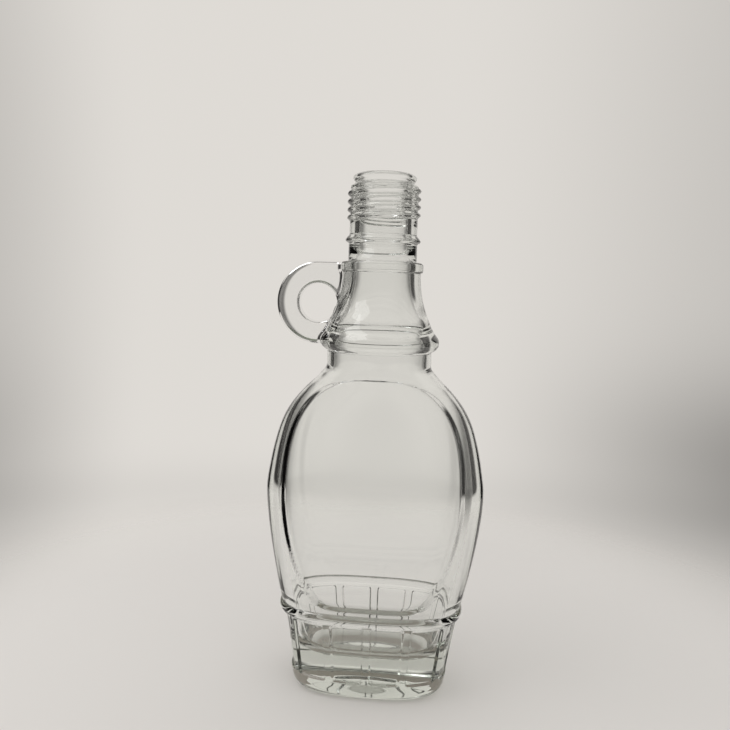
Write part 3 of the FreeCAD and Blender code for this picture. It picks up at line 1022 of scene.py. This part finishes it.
@dataclass(frozen=True)
class Surroundings:
    """Pale backdrop all round, with painted shade at its sides, low corners and horizon, and the room that
    reflections see.
    """

    pale: tuple[float, float, float] = (0.735, 0.707, 0.668)
    ambient: float = 0.75
    horizon: float = -0.27
    # painted shade: a darker band along the horizon
    horizon_shade_width: float = 0.035
    horizon_shade_dim: float = 0.075
    # painted shade: the backdrop darker in its low corners and towards its sides
    corner_shade_above: float = 0.07
    corner_shade_width: float = 0.11
    left: SideShade = SideShade(start=-0.36, end=-0.60, dim=0.32, corner_dim=0.17)
    right: SideShade = SideShade(start=0.0, end=0.55, dim=0.30, corner_dim=0.42)
    room_dark: float = 0.06
    room_pale: float = 0.95
    gap_from: float = 0.45
    gap_to: float = 0.70
    gap_low: float = -0.26
    gap_high: float = 0.25
    gap_low_blend: float = 0.03
    gap_high_blend: float = 0.2
    front_from: float = 0.20
    front_to: float = -0.15
    front_dark: float = 0.85
    front_low: float = -0.35
    front_full: float = -0.2
    bend_from: float = 0.26
    bend_to: float = 0.46
    bend_dark: float = 0.35

    def backdrop_level(self, make: NodeMaker, x: bpy.types.NodeSocket,
                       rise: bpy.types.NodeSocket) -> bpy.types.NodeSocket:
        """Paints shade onto the backdrop at its sides, in its low corners and along the horizon.

        Args:
            make: Maker of the world's nodes.
            x: How far to the right a direction points.
            rise: How far up a direction points.

        Returns:
            The backdrop's brightness, with its painted shade.
        """
        # painted shade: a darker band along the horizon
        horizon_shade = make.hump(rise, self.horizon, self.horizon_shade_width)
        # painted shade: the backdrop darker in its low corners and towards its sides
        corner_shade = make.hump(rise, self.horizon + self.corner_shade_above, self.corner_shade_width)
        left = make.ramp(x, self.left.start, self.left.end, 0.0, 1.0)
        right = make.ramp(x, self.right.start, self.right.end, 0.0, 1.0)
        shade = make.math("ADD", make.math("MULTIPLY", left, self.left.dim),
                          make.math("MULTIPLY", right, self.right.dim))
        sides = make.math("ADD", make.math("MULTIPLY", left, self.left.corner_dim),
                          make.math("MULTIPLY", right, self.right.corner_dim))
        shade = make.math("ADD", shade, make.math("MULTIPLY", sides, corner_shade))
        shade = make.math("ADD", shade, make.math("MULTIPLY", horizon_shade, self.horizon_shade_dim))
        return make.math("SUBTRACT", 1.0, shade)

    def room_level(self, make: NodeMaker, aside: bpy.types.NodeSocket, y: bpy.types.NodeSocket,
                   rise: bpy.types.NodeSocket) -> bpy.types.NodeSocket:
        """Gives the room a dark gap at each side and a dark front.

        Args:
            make: Maker of the world's nodes.
            aside: How far to either side a direction points.
            y: How far back a direction points.
            rise: How far up a direction points.

        Returns:
            The room's brightness.
        """
        dark = make.ramp(aside, self.gap_from, self.gap_to, 0.0, 1.0)
        blend = self.gap_low_blend
        bottom = make.ramp(rise, self.gap_low - blend, self.gap_low + blend, 0.0, 1.0)
        top = make.ramp(rise, self.gap_high, self.gap_high + self.gap_high_blend, 1.0, 0.0)
        dark = make.math("MULTIPLY", make.math("MULTIPLY", dark, bottom), top)
        front = make.ramp(y, self.front_from, self.front_to, 0.0, self.front_dark)
        above = make.ramp(rise, self.front_low, self.front_full, 0.0, 1.0)
        dark = make.math("MAXIMUM", dark, make.math("MULTIPLY", front, above))
        return make.ramp(dark, 0.0, 1.0, self.room_pale, self.room_dark)

    def build(self) -> None:
        """Makes the world."""
        world = bpy.data.worlds.new("surroundings")
        bpy.context.scene.world = world
        world.use_nodes = True
        world.node_tree.nodes.clear()
        make = NodeMaker(world.node_tree)
        path = make.add("ShaderNodeLightPath").outputs
        place = make.add("ShaderNodeTexCoord").outputs["Generated"]
        x, y, rise = make.add("ShaderNodeSeparateXYZ", place).outputs
        aside = make.math("ABSOLUTE", x)
        # the backdrop's brightness with its painted shade, for the camera and for light bent through the
        # glass
        level = self.backdrop_level(make, x, rise)
        pale = make.add("ShaderNodeBackground", (*self.pale, 1.0), level).outputs[0]
        bent = make.ramp(aside, self.bend_from, self.bend_to, 1.0, self.bend_dark)
        bent = make.math("MULTIPLY", level, bent)
        behind = make.add("ShaderNodeBackground", (*self.pale, 1.0), bent).outputs[0]
        strength = self.room_level(make, aside, y, rise)
        room = make.add("ShaderNodeBackground", (*self.pale, 1.0), strength).outputs[0]
        soft = make.add("ShaderNodeBackground", (1.0, 1.0, 1.0, 1.0), self.ambient).outputs[0]
        # light that only bends through the glass sees the backdrop; mirrored light sees the room
        straight = make.math("LESS_THAN", path["Glossy Depth"], 0.5)
        through = make.math("MULTIPLY", path["Is Transmission Ray"], straight)
        shown = make.add("ShaderNodeMixShader", through, room, behind).outputs[0]
        shown = make.add("ShaderNodeMixShader", path["Is Camera Ray"], shown, pale).outputs[0]
        shown = make.add("ShaderNodeMixShader", path["Is Diffuse Ray"], shown, soft).outputs[0]
        make.add("ShaderNodeOutputWorld", shown)


@dataclass(frozen=True)
class Stage:
    """Pale table that melts into the backdrop, soft lamps and the camera."""

    table_color: tuple[float, float, float] = (0.755, 0.725, 0.69)
    table_radius: float = 0.30
    table_roughness: float = 0.9
    table_sheen: float = 0.1
    fade_from: float = 0.15
    fade_to: float = 0.28
    aim_height: float = 0.09
    lamp_place: tuple[float, float, float] = (-0.60, -0.20, 0.95)
    lamp_size: float = 0.6
    lamp_power: float = 2.8
    lens: float = 35.78
    camera_distance: float = 0.2811
    camera_height: float = 0.1564
    camera_aside: float = 0.00543
    camera_pitch: float = 5.97
    camera_roll: float = 1.81
    camera_turn: float = 4.85
    camera_nearest: float = 0.01
    sensor_width: float = 36.0

    def table(self) -> None:
        """Lays the table top, standing alone as stage."""
        mesh = bpy.data.meshes.new("table")
        bm = bmesh.new()
        bmesh.ops.create_circle(bm, cap_ends=True, segments=128, radius=self.table_radius)
        bm.to_mesh(mesh)
        bm.free()
        table = bpy.data.objects.new("table", mesh)
        bpy.context.scene.collection.objects.link(table)
        material = bpy.data.materials.new("table_paint")
        material.use_nodes = True
        make = NodeMaker(material.node_tree)
        shader = material.node_tree.nodes["Principled BSDF"]
        shader.inputs["Base Color"].default_value = (*self.table_color, 1.0)
        shader.inputs["Roughness"].default_value = self.table_roughness
        shader.inputs["Specular IOR Level"].default_value = self.table_sheen
        place = make.add("ShaderNodeTexCoord").outputs["Object"]
        away = make.add("ShaderNodeVectorMath", place, operation="LENGTH").outputs["Value"]
        fade = make.ramp(away, self.fade_from, self.fade_to, 0.0, 1.0)
        clear = make.add("ShaderNodeBsdfTransparent").outputs[0]
        blend = make.add("ShaderNodeMixShader", fade, shader.outputs[0], clear).outputs[0]
        material.node_tree.links.new(blend, material.node_tree.nodes["Material Output"].inputs["Surface"])
        mesh.materials.append(material)

    def lamp(self) -> None:
        """Adds a soft square lamp, high on the left, that points at the bottle's middle."""
        light = bpy.data.lights.new("key_lamp", "AREA")
        light.size = self.lamp_size
        light.energy = self.lamp_power
        lamp = bpy.data.objects.new("key_lamp", light)
        bpy.context.scene.collection.objects.link(lamp)
        lamp.location = self.lamp_place
        aim = Vector((0.0, 0.0, self.aim_height)) - Vector(self.lamp_place)
        lamp.rotation_euler = aim.to_track_quat("-Z", "Y").to_euler()

    def camera(self) -> None:
        """Sets the camera in front, a little above, turned and tilted."""
        pitch = math.radians(self.camera_pitch)
        roll = math.radians(self.camera_roll)
        turn = math.radians(self.camera_turn)
        right = Vector((math.cos(turn), math.sin(turn), 0.0))
        ahead = Vector((-math.sin(turn), math.cos(turn), 0.0))
        up = Vector((0.0, 0.0, 1.0))
        view = ahead * math.cos(pitch) - up * math.sin(pitch)
        lift = ahead * math.sin(pitch) + up * math.cos(pitch)
        side = right * math.cos(roll) + lift * math.sin(roll)
        lift = lift * math.cos(roll) - right * math.sin(roll)
        data = bpy.data.cameras.new("camera")
        data.sensor_width = self.sensor_width
        data.lens = self.lens
        data.clip_start = self.camera_nearest
        camera = bpy.data.objects.new("camera", data)
        bpy.context.scene.collection.objects.link(camera)
        turned = Matrix((side, lift, -view)).transposed().to_4x4()
        back = right * self.camera_aside + ahead * self.camera_distance
        turned.translation = up * self.camera_height - back
        camera.matrix_world = turned
        bpy.context.scene.camera = camera

    def build(self) -> None:
        """Sets the whole stage."""
        self.table()
        Surroundings().build()
        self.lamp()
        self.camera()
        bpy.context.scene.view_settings.view_transform = "Standard"


def main() -> None:
    """Builds the bottle, gives it its glass and sets the stage."""
    bottle = Bottle().build()
    bottle.data.materials.clear()
    bottle.data.materials.append(ClearGlass().build())
    Stage().build()
    log.info("stage set")


if __name__ == "__main__":
    main()
